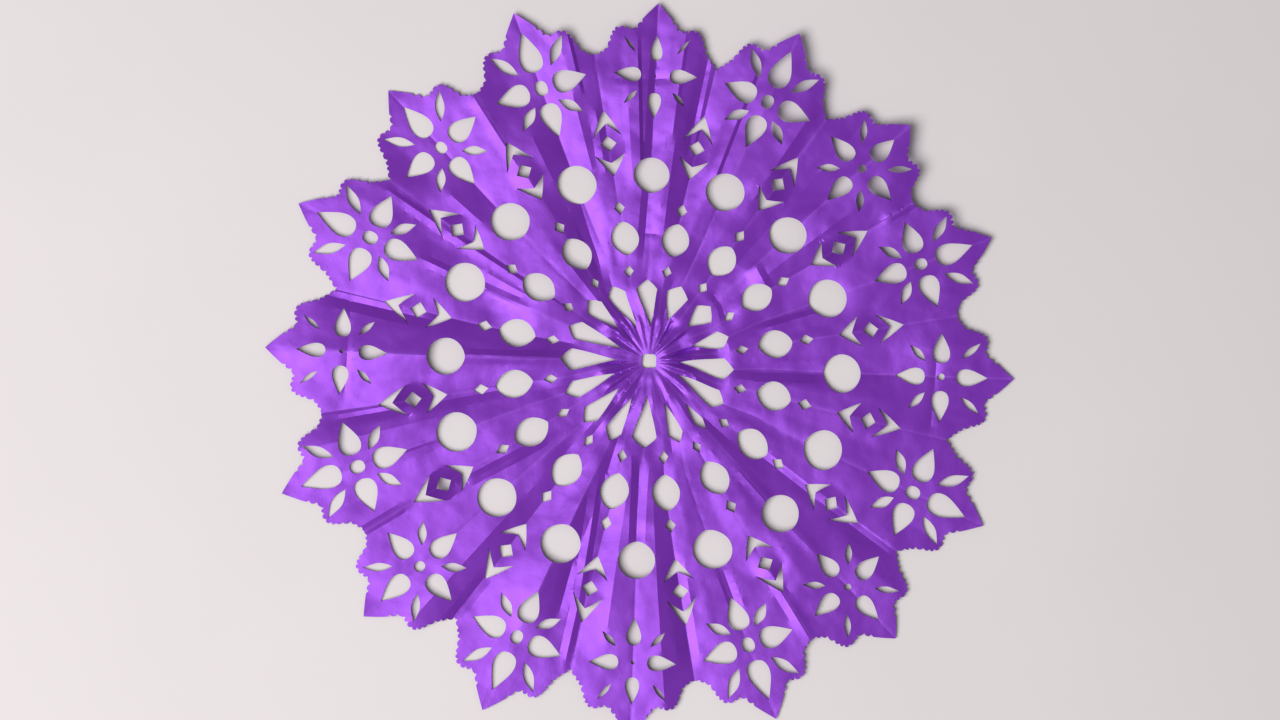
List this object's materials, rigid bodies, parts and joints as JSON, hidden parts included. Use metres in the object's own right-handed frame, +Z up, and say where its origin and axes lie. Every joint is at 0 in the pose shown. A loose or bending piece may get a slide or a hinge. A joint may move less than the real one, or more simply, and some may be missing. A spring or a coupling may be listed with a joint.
{
  "type": "papel picado rosette",
  "caption": "Round rosette of glazed purple paper, folded, snipped into flowers, dots and diamonds, and opened out flat with its folds still standing.",
  "frame": {"origin": "middle of the sheet's outline in plan, at the table it lies on", "axes": "+Z up, out of the table; +Y towards the first lobe, which points 2.5 degrees clockwise of it; +X to the right seen from above"},
  "size_m": [0.5, 0.4876, 0.011],
  "materials": {
    "paper": "glazed craft paper, dyed through, with a soft sheen along the folds"
  },
  "bodies": {
    "root": {"paper_rosette": "paper"}
  },
  "joints": []
}
